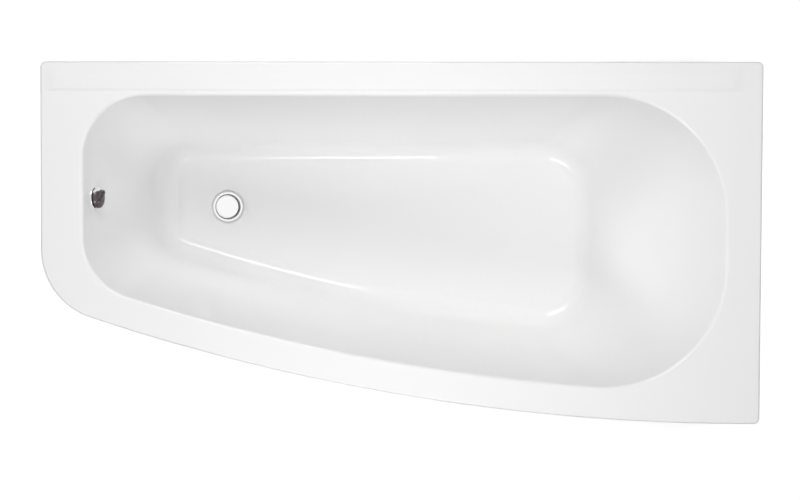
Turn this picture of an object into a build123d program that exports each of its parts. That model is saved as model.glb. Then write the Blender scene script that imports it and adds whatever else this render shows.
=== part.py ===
"""Corner bath: an acrylic shell on a steel leg frame, with a pop-up waste, trap and overflow.

X runs from the foot end, where the waste is, to the head end.
Y runs from the curved front to the straight back, which stands against the wall.
Z runs up from the floor that the feet stand on. All sizes are in millimetres.
"""
import math
import os

from build123d import *

os.makedirs("parts", exist_ok=True)

# Overall size of the bath
bath_length = 1500
bath_width = 750
rim_height = 570
bowl_depth = 400
shell_wall = 6
lip_depth = 38

# Plan of the rim: the front edge is one long arc, which runs level near the head end
front_radius = 4330
front_level_from_head = 50
rim_corner_radius = 12
foot_corner_radius = 150
lip_fillet = 5

# Rim widths, from the outer edge to the opening of the bowl
rim_foot = 88
rim_head = 72
rim_back = 71
rim_front = 66
opening_fillet = 8

# Raised ledge along the back rim
ledge_rise = 2.5
ledge_fillet = 1.2
ledge_foot_end = 8
ledge_head_end = 38

# Bowl walls: slopes off the vertical in degrees, corner radii at the opening and at the floor
slope_foot = 11.5
slope_head = 31.2
slope_back = 12
slope_front = 13
opening_radius_foot = 130
opening_radius_head = 250
floor_radius_foot = 90
floor_radius_head = 120
floor_fillet = 60
floor_fall = 0.01

# Waste seat pressed into the bowl floor
waste_from_foot = 330
seat_radius = 39
seat_recess = 5
seat_wall = 5
waste_hole_radius = 26

# Clearances
fit_gap = 0.3
thread_gap = 0.2
running_gap = 0.05
flat_tolerance = 0.01

# Waste flange and gaskets
flange_radius = 36
flange_stand = 1
flange_mouth_radius = 29
flange_floor = 1.5
sleeve_radius = 24
sleeve_wall = 2
sleeve_length = 34
upper_gasket_thickness = 1.5
lower_gasket_thickness = 3
guide_radius = 7
guide_height = 12
guide_rise = 5
spoke_width = 3
spoke_height = 6
spoke_count = 4

# Pop-up plug
plug_radius = 27.5
plug_thickness = 4.2
plug_dome_fillet = 1.6
plug_seal_radius = 25
plug_seal_thickness = 2
plug_boss_radius = 8
plug_boss_depth = 10
plug_lift = 10.5
stem_radius = 4

# Waste body under the shell
body_flange_radius = 39
body_flange_thickness = 4
body_radius = 30
body_wall = 4
body_height = 49
chamber_height = 24
neck_radius = 23
neck_wall = 4
neck_length = 20

# Lift lever in the waste body
lever_offset = 20
lever_swing = 30
lever_rise = 10
lever_thickness = 6
lever_width = 8
lever_hub_radius = 6
shaft_radius = 3
shaft_socket = 3
shaft_boss_radius = 8
shaft_boss_reach = 42
crank_length = 16
crank_tip_radius = 5
crank_thickness = 4.5

# Glands that hold the ends of the control cable
gland_plate = 3
gland_reach = 40
gland_tube_radius = 4
gland_bore_radius = 1.5
gland_tube_length = 22
gland_plate_height = 18
gland_seat = 4

# Trap and outlet
trap_radius = 20
trap_wall = 2
trap_drop = 25
trap_bend_radius = 32
trap_rise = 6
outlet_bend_radius = 26
outlet_run = 30
outlet_length = 128
pipe_seal_thickness = 2.5
trap_collar_length = 11
outlet_collar_radius = 22
nut_wall = 6
nut_length = 26
nut_sides = 12

# Overflow set
overflow_depth = 58
overflow_aside = 14
overflow_hole_radius = 19
rosette_radius = 25
rosette_thickness = 3
rosette_collar_radius = 17.5
rosette_collar_wall = 3
rosette_collar_length = 20
inlet_count = 8
inlet_radius = 2.5
inlet_circle_radius = 11.5
knob_radius = 23
knob_thickness = 7
knob_gap = 1
knob_swing = 100
knob_fillet = 2.5
grip_length = 38
grip_width = 9
grip_height = 5
grip_fillet = 2
spindle_radius = 4
spindle_guide_radius = 7
overflow_gasket_thickness = 3
elbow_flange_radius = 29
elbow_flange_thickness = 3
elbow_radius = 22
elbow_wall = 3
elbow_depth = 35
elbow_spigot_length = 24
elbow_boss_length = 10

# Overflow hose: corrugated, butted to both spigots with a rubber seal in each joint
hose_radius = 14
hose_root_radius = 12.2
hose_bore_radius = 10.5
hose_bend_radius = 80
hose_cuff = 28
rib_pitch = 5
rib_form = ((0.15, hose_root_radius), (0.35, hose_radius), (0.65, hose_radius), (0.85, hose_root_radius))
hose_seal_thickness = 2
hose_inlet_reach = 60
hose_nut_length = 24

# Base board, battens and leg frame
board_thickness = 12
board_inset = 2
board_hole_radius = 50
batten_thickness = 18
batten_width = 36
batten_gap = 5
batten_back_length = 1250
batten_head_length = 480
bar_width = 40
bar_height = 25
bar_wall = 2
bar_overhang = 24
bar_from_waste = 130
bar_from_board_end = 101.6
leg_inset = 110
stud_radius = 6
stud_spare = 21
stud_chamfer = 1
stud_start = 5
stud_nut_flats = 19
stud_nut_height = 8
pad_radius = 25
pad_height = 9
pad_neck_radius = 12
pad_neck_height = 9
pad_fillet = 3
screw_radius = 2.5
screw_head_radius = 5
screw_head_height = 2.5
screw_bite = 9
screw_count = 3

# Places that follow from the sizes
half_length = bath_length / 2
half_width = bath_width / 2
rim_top = rim_height - ledge_rise
arc_x = half_length - front_level_from_head
arc_y = front_radius - half_width
waste_x = waste_from_foot - half_length
rim_widths = (rim_foot, rim_head, rim_back, rim_front)
slopes = tuple(math.radians(angle) for angle in (slope_foot, slope_head, slope_back, slope_front))
wall_depth = bowl_depth - ledge_rise
floor_z = rim_top - wall_depth


def front_y(x, inset):
    """Y of the front arc, moved in from the rim's edge by inset, at the place x."""
    return arc_y - math.sqrt((front_radius - inset) ** 2 - (x - arc_x) ** 2)


def wall_insets(depth, outward, fall):
    """Insets of the four bowl walls at a depth over the waste, on a plane with a fall to it."""
    foot_depth = depth - fall * (rim_foot - half_length - waste_x)
    head_depth = depth - fall * (half_length - rim_head - waste_x)
    foot_depth /= 1 + fall * math.tan(slopes[0])
    head_depth /= 1 - fall * math.tan(slopes[1])
    return [
        width + side_depth * math.tan(slope) - outward / math.cos(slope)
        for width, slope, side_depth in zip(rim_widths, slopes, (foot_depth, head_depth, depth, depth))
    ]


def floor_insets():
    """Insets at which the flat floor of the bowl meets the floor fillet."""
    rise = wall_depth - floor_fillet
    return [
        width + rise * math.tan(slope) + floor_fillet / math.cos(slope)
        for width, slope in zip(rim_widths, slopes)
    ]


def middle_of_arc(centre, start, end):
    """Point of the arc halfway between its ends, on the side of the ends."""
    toward = ((start + end) / 2 - centre).normalized()
    return centre + toward * (start - centre).length


def bath_outline(plane, insets, foot_back, head_back, head_front, foot_front):
    """Outline inside the rim by four insets, with its four corner radii, as a sketch."""
    foot, head, back, front = insets
    foot_x = foot - half_length
    head_x = half_length - head
    back_y = half_width - back
    arc_centre = Vector(arc_x, arc_y)
    foot_low = Vector(foot_x + foot_front, front_y(foot_x + foot_front, front + foot_front))
    head_low = Vector(head_x - head_front, front_y(head_x - head_front, front + head_front))
    foot_high = Vector(foot_x + foot_back, back_y - foot_back)
    head_high = Vector(head_x - head_back, back_y - head_back)
    reach = front_radius - front
    foot_touch = arc_centre + (foot_low - arc_centre).normalized() * reach
    head_touch = arc_centre + (head_low - arc_centre).normalized() * reach
    corners = (
        (head_high, Vector(head_high.X, back_y), Vector(head_x, head_high.Y)),
        (head_low, Vector(head_x, head_low.Y), head_touch),
        (foot_low, foot_touch, Vector(foot_x, foot_low.Y)),
        (foot_high, Vector(foot_x, foot_high.Y), Vector(foot_high.X, back_y)),
    )
    with BuildSketch(plane) as sketch:
        with BuildLine() as path:
            for centre, start, end in corners:
                ThreePointArc(start, middle_of_arc(centre, start, end), end)
            Line(corners[3][2], corners[0][1])
            Line(corners[0][2], corners[1][1])
            ThreePointArc(head_touch, middle_of_arc(arc_centre, head_touch, foot_touch), foot_touch)
            Line(corners[2][2], corners[3][1])
        make_face(path.edges())
    return sketch.sketch


def rim_outline(height, inset):
    """Outline of the rim at a height, moved in by inset."""
    small = rim_corner_radius - inset
    large = foot_corner_radius - inset
    return bath_outline(Plane.XY.offset(height), [inset] * 4, small, small, small, large)


def bowl_section(plane, depth, outward, fall):
    """Outline of the bowl at a depth, with its corner radii blended from opening to floor."""
    share = depth / wall_depth
    foot = opening_radius_foot + (floor_radius_foot - opening_radius_foot) * share + outward
    head = opening_radius_head + (floor_radius_head - opening_radius_head) * share + outward
    return bath_outline(plane, wall_insets(depth, outward, fall), foot, head, head, foot)


def bowl_floor_plane(below):
    """Plane of the bowl floor, which falls to the waste, moved down by below."""
    return Plane(
        origin=(0, 0, floor_z - waste_x * floor_fall - below),
        x_dir=(1, 0, floor_fall),
        z_dir=(-floor_fall, 0, 1),
    )


def ring(plane, outer, inner):
    """Flat ring as a sketch."""
    with BuildSketch(plane) as sketch:
        Circle(outer)
        Circle(inner, mode=Mode.SUBTRACT)
    return sketch.sketch


def circles(height, points, radius):
    """Equal circles at points on a level plane, as a sketch."""
    with BuildSketch(Plane.XY.offset(height)) as sketch:
        with Locations(*points):
            Circle(radius)
    return sketch.sketch


def arm(plane, length, tip_radius, angle):
    """Outline of a lever arm from its hub at the plane's origin, turned by angle."""
    with BuildSketch(plane) as sketch:
        with Locations(Rotation(0, 0, angle)):
            with Locations((length / 2, 0)):
                SlotCenterToCenter(length, 2 * tip_radius)
    return sketch.sketch


# Shell: acrylic sheet drawn into a bowl, with a rim turned down at its edge
floor_back, floor_front = floor_insets()[2:]
waste_y = (half_width - floor_back + front_y(waste_x, floor_front)) / 2
waste = Plane((waste_x, waste_y, 0))
seat_z = floor_z - seat_recess
seat_under = seat_z - seat_wall
with BuildPart() as bowl_inside:
    top = bowl_section(Plane.XY.offset(rim_top + shell_wall), -shell_wall, 0, 0)
    bottom = bowl_section(bowl_floor_plane(0), wall_depth, 0, floor_fall)
    loft(sections=[top, bottom], ruled=True)
    fillet(bowl_inside.faces().sort_by(Axis.Z)[0].edges(), floor_fillet)

# Overflow plane: on the foot wall, a little nearer the back than the waste, facing into the bowl
overflow_sight = Axis((waste_x, waste_y + overflow_aside, rim_top - overflow_depth), (-1, 0, 0))
wall_crossings = bowl_inside.part.find_intersection_points(overflow_sight)
overflow_point, wall_outward = min(wall_crossings, key=lambda crossing: crossing[0].X)
overflow = Plane(overflow_point, x_dir=(0, 1, 0), z_dir=-wall_outward)

with BuildPart() as bowl_outside:
    top = bowl_section(Plane.XY.offset(rim_top - shell_wall / 2), shell_wall / 2, shell_wall, 0)
    bottom = bowl_section(bowl_floor_plane(shell_wall), wall_depth + shell_wall, shell_wall, floor_fall)
    loft(sections=[top, bottom], ruled=True)
    fillet(bowl_outside.faces().sort_by(Axis.Z)[0].edges(), floor_fillet + shell_wall)

with BuildPart() as tub_shell:
    extrude(rim_outline(rim_top - lip_depth, 0), amount=lip_depth)
    extrude(
        rim_outline(rim_top - lip_depth, shell_wall),
        amount=lip_depth - shell_wall,
        mode=Mode.SUBTRACT,
    )
    add(bowl_outside.part)
    with BuildSketch(waste.offset(seat_under)):
        Circle(seat_radius + seat_wall)
    extrude(amount=seat_recess + seat_wall - shell_wall / 2)
    add(bowl_inside.part, mode=Mode.SUBTRACT)
    rim_band = (rim_top - flat_tolerance, rim_top + flat_tolerance)
    rim_faces = tub_shell.faces().filter_by(Axis.Z).filter_by_position(Axis.Z, *rim_band)
    fillet(rim_faces.sort_by(SortBy.AREA)[-1].inner_wires().edges(), opening_fillet)
    rim_faces = tub_shell.faces().filter_by(Axis.Z).filter_by_position(Axis.Z, *rim_band)
    fillet(rim_faces.sort_by(SortBy.AREA)[-1].outer_wire().edges(), lip_fillet)
    with BuildSketch(Plane.XY.offset(rim_top - shell_wall / 2)):
        ledge_low = half_width - rim_back + opening_fillet
        with BuildLine():
            Polyline(
                (ledge_foot_end - half_length, ledge_low),
                (half_length - ledge_head_end, ledge_low),
                (half_length - ledge_head_end, half_width - lip_fillet),
                (ledge_foot_end - half_length, half_width - lip_fillet),
                close=True,
            )
        make_face()
    extrude(amount=shell_wall / 2 + ledge_rise)
    fillet(tub_shell.faces().sort_by(Axis.Z)[-1].edges(), ledge_fillet)
    with BuildSketch(waste.offset(seat_z)):
        Circle(seat_radius)
    extrude(amount=2 * seat_recess, mode=Mode.SUBTRACT)
    with BuildSketch(waste.offset(seat_under)):
        Circle(waste_hole_radius)
    extrude(amount=2 * seat_wall, mode=Mode.SUBTRACT)
    with BuildSketch(overflow):
        Circle(overflow_hole_radius)
    extrude(amount=2 * shell_wall, both=True, mode=Mode.SUBTRACT)

# Underside of the board that is bonded below the bowl floor
board_low = floor_z - shell_wall - board_thickness
board_edges = [inset + board_inset for inset in floor_insets()]

# Leg frame: two steel channels across the board, with a levelling leg at each end
bar_top = board_low
bar_low = bar_top - bar_height
bar_places = {
    "foot": waste_x + bar_from_waste,
    "head": half_length - board_edges[1] - bar_from_board_end,
}
cross_bars = {}
leg_points = {}
bar_screw_points = []
for end, bar_x in bar_places.items():
    back_y = half_width - leg_inset
    front = front_y(bar_x, 0) + leg_inset
    board_back_y = half_width - board_edges[2]
    board_front_y = front_y(bar_x, board_edges[3])
    screw_step = (board_front_y - board_back_y) / (screw_count + 1)
    screws = [(bar_x, board_back_y + screw_step * (index + 1)) for index in range(screw_count)]
    with BuildPart(Plane((bar_x, (back_y + front) / 2, bar_top))) as cross_bar:
        length = back_y - front + 2 * bar_overhang
        Box(bar_width, length, bar_height, align=(Align.CENTER, Align.CENTER, Align.MAX))
        fillet(cross_bar.edges().filter_by(Axis.Y).group_by(Axis.Z)[-1], bar_wall)
        with Locations((0, 0, -bar_wall)):
            Box(
                bar_width - 2 * bar_wall,
                length,
                bar_height,
                align=(Align.CENTER, Align.CENTER, Align.MAX),
                mode=Mode.SUBTRACT,
            )
        legs_here = [(bar_x, back_y), (bar_x, front)]
        leg_holes = circles(bar_low, legs_here, stud_radius + running_gap)
        extrude(leg_holes, amount=bar_height, mode=Mode.SUBTRACT)
        extrude(circles(bar_low, screws, screw_radius), amount=bar_height, mode=Mode.SUBTRACT)
    cross_bars["cross_bar_" + end] = cross_bar
    leg_points[end + "_back"] = (bar_x, back_y)
    leg_points[end + "_front"] = (bar_x, front)
    bar_screw_points += screws

with BuildPart() as bar_screws:
    head_height = bar_top - bar_wall
    extrude(circles(head_height, bar_screw_points, screw_radius), amount=bar_wall + screw_bite)
    extrude(circles(head_height, bar_screw_points, screw_head_radius), amount=-screw_head_height)

# Base board: chipboard bonded under the bowl floor, level below, with a hole for the waste
with BuildPart() as base_board:
    foot_corner = floor_radius_foot - floor_fillet
    head_corner = floor_radius_head - floor_fillet
    corners = (foot_corner, head_corner, head_corner, foot_corner)
    board_stock = board_thickness + floor_fall * bath_length
    extrude(bath_outline(Plane.XY.offset(board_low), board_edges, *corners), amount=board_stock)
    split(bisect_by=bowl_floor_plane(shell_wall), keep=Keep.BOTTOM)
    extrude(
        circles(board_low, [(waste_x, waste_y)], board_hole_radius),
        amount=board_stock,
        mode=Mode.SUBTRACT,
    )
    extrude(circles(board_low, bar_screw_points, screw_radius), amount=screw_bite, mode=Mode.SUBTRACT)

# Legs: a threaded stud screwed into a plastic foot, held to the bar by a nut above and below
stud_length = bar_top + stud_nut_height + stud_spare - stud_start
legs = {}
for place, (leg_x, leg_y) in leg_points.items():
    with BuildPart(Plane((leg_x, leg_y, stud_start))) as leg_stud:
        Cylinder(stud_radius, stud_length, align=(Align.CENTER, Align.CENTER, Align.MIN))
        chamfer(leg_stud.faces().sort_by(Axis.Z)[-1].edges(), stud_chamfer)
    with BuildPart(Plane((leg_x, leg_y, 0))) as foot_pad:
        Cylinder(pad_radius, pad_height, align=(Align.CENTER, Align.CENTER, Align.MIN))
        fillet(foot_pad.faces().sort_by(Axis.Z)[-1].edges(), pad_fillet)
        Cylinder(
            pad_neck_radius, pad_height + pad_neck_height, align=(Align.CENTER, Align.CENTER, Align.MIN)
        )
        with Locations((0, 0, stud_start)):
            Cylinder(
                stud_radius,
                pad_height + pad_neck_height,
                align=(Align.CENTER, Align.CENTER, Align.MIN),
                mode=Mode.SUBTRACT,
            )
    legs["leg_stud_" + place] = leg_stud
    legs["foot_pad_" + place] = foot_pad

with BuildPart() as leg_nuts:
    for height, amount in ((bar_top, stud_nut_height), (bar_top - bar_wall, -stud_nut_height)):
        with BuildSketch(Plane.XY.offset(height)):
            with Locations(*leg_points.values()):
                RegularPolygon(stud_nut_flats / 2, 6, major_radius=False)
                Circle(stud_radius + running_gap, mode=Mode.SUBTRACT)
        extrude(amount=amount)

# Battens: chipboard strips bonded under the rim along the wall and at the head end
batten_top = rim_top - shell_wall
with BuildPart() as rim_batten_back:
    with BuildSketch(Plane.XY.offset(batten_top)):
        with Locations((0, half_width - shell_wall - batten_gap - batten_width / 2)):
            Rectangle(batten_back_length, batten_width)
    extrude(amount=-batten_thickness)
with BuildPart() as rim_batten_head:
    with BuildSketch(Plane.XY.offset(batten_top)):
        with Locations((half_length - shell_wall - batten_gap - batten_width / 2, 0)):
            Rectangle(batten_width, batten_head_length)
    extrude(amount=-batten_thickness)

# Waste flange: turned brass ring in the seat, with a threaded sleeve and a guide for the stem
flange_low = seat_z + upper_gasket_thickness
flange_high = floor_z + flange_stand
sleeve_low = flange_low - sleeve_length
with BuildPart() as waste_flange:
    flange_base = waste.offset(flange_low)
    extrude(ring(flange_base, flange_radius, flange_mouth_radius), amount=flange_high - flange_low)
    fillet(waste_flange.faces().sort_by(Axis.Z)[-1].edges(), flange_stand)
    extrude(ring(flange_base, flange_mouth_radius, sleeve_radius - sleeve_wall), amount=flange_floor)
    sleeve_base = waste.offset(sleeve_low)
    extrude(ring(sleeve_base, sleeve_radius, sleeve_radius - sleeve_wall), amount=sleeve_length)
    with BuildSketch(waste.offset(sleeve_low + guide_rise)):
        Circle(guide_radius)
    extrude(amount=guide_height)
    with BuildSketch(waste.offset(sleeve_low + guide_rise)):
        with PolarLocations((sleeve_radius - sleeve_wall / 2) / 2, spoke_count):
            Rectangle(sleeve_radius - sleeve_wall / 2, spoke_width)
    extrude(amount=spoke_height)
    with BuildSketch(waste.offset(sleeve_low + guide_rise)):
        Circle(stem_radius + running_gap)
    extrude(amount=guide_height, mode=Mode.SUBTRACT)

with BuildPart() as waste_gasket_upper:
    extrude(
        ring(waste.offset(seat_z), flange_radius - flange_stand, waste_hole_radius),
        amount=upper_gasket_thickness,
    )

gasket_low = seat_under - lower_gasket_thickness
with BuildPart() as waste_gasket_lower:
    extrude(
        ring(waste.offset(gasket_low), body_flange_radius - fit_gap, sleeve_radius + fit_gap),
        amount=lower_gasket_thickness,
    )

# Waste body: moulded cup under the floor, with the overflow inlet, the lever's boss and a neck
body_low = gasket_low - body_height
chamber_low = body_low + body_wall
neck_low = body_low - neck_length
lever_z = chamber_low + lever_rise
lever_x = waste_x - lever_offset
inlet_z = chamber_low + chamber_height / 2
chamber_radius = body_radius - body_wall
chord_inside = math.sqrt(chamber_radius**2 - lever_offset**2)
shaft_start = waste_y - shaft_boss_reach - crank_thickness - 2 * fit_gap
shaft_stop = waste_y + chord_inside + shaft_socket - fit_gap
lever_plane = Plane((lever_x, waste_y, lever_z), x_dir=(1, 0, 0), z_dir=(0, -1, 0))
# Inlet plane: turned to where the hose comes down from the spigot of the overflow elbow
elbow_front = -shell_wall - overflow_gasket_thickness
elbow_back = elbow_front - elbow_depth
spigot_middle = elbow_back + hose_radius + elbow_wall - fit_gap
spigot = Plane(
    (overflow.location * Location((0, -elbow_radius - elbow_spigot_length, spigot_middle))).position,
    x_dir=(0, 1, 0),
    z_dir=overflow.y_dir,
)
hose_start = spigot.origin - spigot.z_dir * hose_seal_thickness
hose_corner = hose_start - spigot.z_dir * ((hose_start.Z - inlet_z) / spigot.z_dir.Z)
chamber_middle = Vector(waste_x, waste_y, inlet_z)
inlet_dir = (chamber_middle - hose_corner).normalized()
inlet_plane = Plane(
    chamber_middle - inlet_dir * hose_inlet_reach,
    x_dir=(-inlet_dir.Y, inlet_dir.X, 0),
    z_dir=inlet_dir,
)
with BuildPart() as waste_body:
    with BuildSketch(waste.offset(body_low)):
        Circle(body_radius)
    extrude(amount=body_height)
    with BuildSketch(waste.offset(gasket_low)):
        Circle(body_flange_radius)
    extrude(amount=-body_flange_thickness)
    with BuildSketch(waste.offset(neck_low)):
        Circle(neck_radius)
    extrude(amount=neck_length)
    with BuildSketch(inlet_plane):
        Circle(hose_radius)
    extrude(amount=hose_inlet_reach - chamber_radius / 2)
    with BuildSketch(lever_plane.offset(shaft_boss_reach)):
        Circle(shaft_boss_radius)
    extrude(amount=-shaft_boss_reach)
    with BuildSketch(waste.offset(chamber_low)):
        Circle(chamber_radius)
    extrude(amount=chamber_height, mode=Mode.SUBTRACT)
    with BuildSketch(waste.offset(chamber_low + chamber_height)):
        Circle(sleeve_radius + thread_gap)
    extrude(amount=body_height, mode=Mode.SUBTRACT)
    with BuildSketch(waste.offset(neck_low)):
        Circle(neck_radius - neck_wall)
    extrude(amount=neck_length + body_wall, mode=Mode.SUBTRACT)
    with BuildSketch(inlet_plane):
        Circle(hose_bore_radius)
    extrude(amount=hose_inlet_reach - chamber_radius / 2, mode=Mode.SUBTRACT)
    with BuildSketch(lever_plane.offset(shaft_boss_reach)):
        Circle(shaft_radius + running_gap)
    extrude(amount=-shaft_boss_reach - chord_inside - shaft_socket, mode=Mode.SUBTRACT)

# Lift lever: an arm inside the chamber and a crank outside, pressed on one shaft
with BuildPart() as lever_shaft:
    with BuildSketch(lever_plane.offset(waste_y - shaft_start)):
        Circle(shaft_radius)
    extrude(amount=shaft_start - shaft_stop)
with BuildPart() as lift_lever:
    lever_side = lever_plane.offset(-lever_width / 2)
    extrude(arm(lever_side, lever_offset, lever_thickness / 2, lever_swing), amount=lever_width)
    with BuildSketch(lever_side):
        Circle(lever_hub_radius)
    extrude(amount=lever_width)
    with BuildSketch(lever_side):
        Circle(shaft_radius)
    extrude(amount=lever_width, mode=Mode.SUBTRACT)
with BuildPart() as lever_crank:
    crank_plane = lever_plane.offset(shaft_boss_reach + fit_gap)
    crank_angle = 90 + lever_swing
    extrude(arm(crank_plane, crank_length, crank_tip_radius, crank_angle), amount=crank_thickness)
    with BuildSketch(crank_plane):
        Circle(lever_hub_radius)
    extrude(amount=crank_thickness)
    with BuildSketch(crank_plane):
        Circle(shaft_radius)
        with PolarLocations(crank_length, 1, start_angle=crank_angle):
            Circle(gland_bore_radius)
    extrude(amount=crank_thickness, mode=Mode.SUBTRACT)


def cable_gland(plane, boss_radius):
    """Bracket clamped on a boss at the plane's origin, with a cable gland on its upturned end."""
    cable_rise = gland_seat + fit_gap + crank_thickness / 2
    with BuildPart() as gland:
        with BuildSketch(plane):
            with Locations((-gland_reach / 2, crank_length / 2)):
                Rectangle(gland_reach, crank_length + gland_plate_height)
            Circle(boss_radius + gland_plate)
            Circle(boss_radius, mode=Mode.SUBTRACT)
        extrude(amount=gland_plate)
        with BuildSketch(plane):
            with Locations((-gland_reach + gland_plate / 2, crank_length / 2)):
                Rectangle(gland_plate, crank_length + gland_plate_height)
        extrude(amount=cable_rise + 2 * gland_tube_radius)
        outer_end = plane.location * Location((-gland_reach - gland_plate, crank_length, cable_rise))
        tube = Plane(outer_end.position, x_dir=plane.z_dir, z_dir=plane.x_dir)
        with BuildSketch(tube):
            Circle(gland_tube_radius)
        extrude(amount=gland_tube_length / 2)
        with BuildSketch(tube):
            Circle(gland_bore_radius)
        extrude(amount=gland_tube_length, mode=Mode.SUBTRACT)
    return gland


cable_gland_lower = cable_gland(lever_plane.offset(shaft_boss_reach - gland_seat), shaft_boss_radius)

# Plug: chrome cap over the flange, lifted open here, on a stem that the lever lifts
plug_low = flange_low + flange_floor + fit_gap + plug_seal_thickness + plug_lift
stem_low = lever_z + lever_thickness / 2 + fit_gap + plug_lift
with BuildPart() as plug_cap:
    with BuildSketch(waste.offset(plug_low)):
        Circle(plug_radius)
    extrude(amount=plug_thickness)
    fillet(plug_cap.faces().sort_by(Axis.Z)[-1].edges(), plug_dome_fillet)
    with BuildSketch(waste.offset(plug_low)):
        Circle(plug_boss_radius)
    extrude(amount=-plug_boss_depth)
    with BuildSketch(waste.offset(plug_low - plug_boss_depth)):
        Circle(stem_radius)
    extrude(amount=plug_boss_depth, mode=Mode.SUBTRACT)
with BuildPart() as plug_seal:
    plug_base = waste.offset(plug_low)
    extrude(ring(plug_base, plug_seal_radius, plug_boss_radius), amount=-plug_seal_thickness)
with BuildPart() as plug_stem:
    with BuildSketch(waste.offset(stem_low)):
        Circle(stem_radius)
    extrude(amount=plug_low - stem_low)

# Trap: bent tube that holds the water seal, butted to the waste body's neck
trap_top = neck_low - pipe_seal_thickness
trap_low = trap_top - trap_drop
outlet_start_y = waste_y + 2 * trap_bend_radius + outlet_bend_radius + outlet_run
outlet_z = trap_low + trap_rise + outlet_bend_radius
outlet = Plane((waste_x, outlet_start_y, outlet_z), x_dir=(1, 0, 0), z_dir=(0, 1, 0))
trap_plane = Plane((waste_x, waste_y, trap_low), x_dir=(0, 1, 0), z_dir=(1, 0, 0))
with BuildPart() as trap_body:
    with BuildLine(trap_plane) as trap_path:
        rise_start = (2 * trap_bend_radius, 0)
        rise_end = (2 * trap_bend_radius, trap_rise)
        turn_end = (2 * trap_bend_radius + outlet_bend_radius, trap_rise + outlet_bend_radius)
        Line((0, trap_drop), (0, 0))
        ThreePointArc((0, 0), (trap_bend_radius, -trap_bend_radius), rise_start)
        Line(rise_start, rise_end)
        RadiusArc(rise_end, turn_end, outlet_bend_radius)
        Line(turn_end, (turn_end[0] + outlet_run, turn_end[1]))
    with BuildSketch(waste.offset(trap_top)):
        Circle(trap_radius)
    sweep(path=trap_path.line)
    with BuildSketch(waste.offset(trap_top)):
        Circle(neck_radius)
    extrude(amount=-trap_collar_length)
    with BuildSketch(outlet):
        Circle(outlet_collar_radius)
    extrude(amount=-trap_collar_length)
    with BuildSketch(waste.offset(trap_top)):
        Circle(trap_radius - trap_wall)
    sweep(path=trap_path.line, mode=Mode.SUBTRACT)

with BuildPart() as trap_inlet_seal:
    neck_end = waste.offset(neck_low)
    extrude(ring(neck_end, neck_radius, neck_radius - neck_wall), amount=-pipe_seal_thickness)
with BuildPart() as trap_outlet_seal:
    extrude(ring(outlet, outlet_collar_radius, trap_radius - trap_wall), amount=pipe_seal_thickness)
with BuildPart() as outlet_pipe:
    outlet_joint = outlet.offset(pipe_seal_thickness)
    outlet_collar = (nut_length - pipe_seal_thickness) / 2
    extrude(ring(outlet_joint, trap_radius, trap_radius - trap_wall), amount=outlet_length)
    extrude(ring(outlet_joint, outlet_collar_radius, trap_radius - trap_wall), amount=outlet_collar)


def union_nut(plane, tube_radius, length):
    """Moulded nut over a butted joint, centred at the plane's origin."""
    with BuildPart() as nut:
        with BuildSketch(plane.offset(-length / 2)):
            RegularPolygon(tube_radius + nut_wall, nut_sides)
            Circle(tube_radius + thread_gap, mode=Mode.SUBTRACT)
        extrude(amount=length)
    return nut


trap_inlet_nut = union_nut(waste.offset(neck_low - pipe_seal_thickness / 2), neck_radius, nut_length)
trap_outlet_nut = union_nut(outlet.offset(pipe_seal_thickness / 2), outlet_collar_radius, nut_length)

# Overflow rosette: plated disc on the foot wall, with water slots and a collar through the hole
with BuildPart() as overflow_rosette:
    with BuildSketch(overflow):
        Circle(rosette_radius)
    extrude(amount=rosette_thickness)
    fillet(overflow_rosette.faces().sort_by(Axis.X)[-1].edges(), rosette_thickness / 3)
    collar_bore = rosette_collar_radius - rosette_collar_wall
    extrude(ring(overflow, rosette_collar_radius, collar_bore), amount=-rosette_collar_length)
    with BuildSketch(overflow):
        Circle(spindle_guide_radius)
    extrude(amount=-rosette_collar_length)
    with BuildSketch(overflow.offset(-rosette_collar_length)):
        Circle(spindle_radius + running_gap)
    extrude(amount=rosette_collar_length + rosette_thickness, mode=Mode.SUBTRACT)
    with BuildSketch(overflow):
        with PolarLocations(inlet_circle_radius, inlet_count):
            Circle(inlet_radius)
    extrude(amount=rosette_thickness, mode=Mode.SUBTRACT)

# Overflow elbow: moulded chamber behind the wall, with a spigot down to the hose
with BuildPart() as overflow_gasket:
    extrude(
        ring(overflow.offset(-shell_wall), elbow_flange_radius, rosette_collar_radius + fit_gap),
        amount=-overflow_gasket_thickness,
    )
with BuildPart() as overflow_elbow:
    with BuildSketch(overflow.offset(elbow_front)):
        Circle(elbow_flange_radius)
    extrude(amount=-elbow_flange_thickness)
    with BuildSketch(overflow.offset(elbow_front)):
        Circle(elbow_radius)
    extrude(amount=-elbow_depth)
    with BuildSketch(overflow.offset(elbow_back)):
        Circle(spindle_guide_radius)
    extrude(amount=-elbow_boss_length)
    with BuildSketch(spigot):
        Circle(hose_radius)
    extrude(amount=elbow_spigot_length + elbow_radius / 2)
    with BuildSketch(overflow.offset(elbow_front)):
        Circle(rosette_collar_radius + thread_gap)
    extrude(amount=elbow_wall - elbow_depth, mode=Mode.SUBTRACT)
    with BuildSketch(spigot):
        Circle(hose_bore_radius)
    extrude(amount=elbow_spigot_length + elbow_radius / 2, mode=Mode.SUBTRACT)
    with BuildSketch(overflow.offset(elbow_back - elbow_boss_length)):
        Circle(spindle_radius + running_gap)
    extrude(amount=elbow_boss_length + 2 * elbow_wall, mode=Mode.SUBTRACT)

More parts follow.
